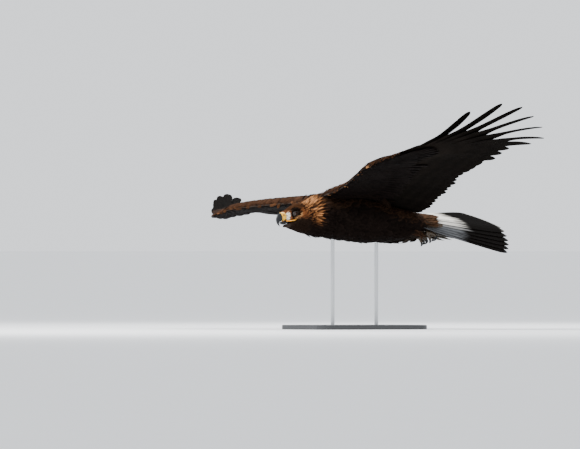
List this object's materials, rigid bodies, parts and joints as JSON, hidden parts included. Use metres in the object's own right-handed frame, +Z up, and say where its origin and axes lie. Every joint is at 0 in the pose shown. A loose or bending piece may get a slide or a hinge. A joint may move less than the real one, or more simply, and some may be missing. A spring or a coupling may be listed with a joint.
{
  "type": "golden eagle",
  "caption": "Life-size young golden eagle gliding in a shallow bank with spread wings and tail, held on a plain display stand.",
  "frame": {"origin": "centre of the bounding box on the floor plane under the stand's base", "axes": "+X to the bird's left along the wings, -Y towards the bill, +Y towards the tail, +Z up"},
  "size_m": [1.8742, 0.8284, 0.7071],
  "materials": {
    "body_plumage": "matte",
    "nape_plumage": "matte",
    "head_plumage": "matte",
    "wing_plumage": "matte",
    "tail_plumage": "matte",
    "leg_plumage": "matte",
    "horn": "gloss",
    "cere": "satin",
    "eye": "gloss",
    "toe_scale": "satin",
    "stand_steel": "satin"
  },
  "bodies": {
    "root": {"torso": "body_plumage", "neck": "nape_plumage", "head": "head_plumage", "eye_left": "eye", "eye_right": "eye", "cere": "cere", "bill_upper": "horn", "bill_lower": "horn", "wing_left_arm": "wing_plumage", "wing_left_hand": "wing_plumage", "wing_right_arm": "wing_plumage", "wing_right_hand": "wing_plumage", "tail": "tail_plumage", "leg_left": "leg_plumage", "leg_right": "leg_plumage", "foot_left": "toe_scale", "foot_right": "toe_scale", "claw_left_inner": "horn", "claw_left_middle": "horn", "claw_left_outer": "horn", "claw_left_hind": "horn", "claw_right_inner": "horn", "claw_right_middle": "horn", "claw_right_outer": "horn", "claw_right_hind": "horn", "stand_base": "stand_steel", "stand_rod_front": "stand_steel", "stand_rod_rear": "stand_steel"}
  },
  "joints": []
}
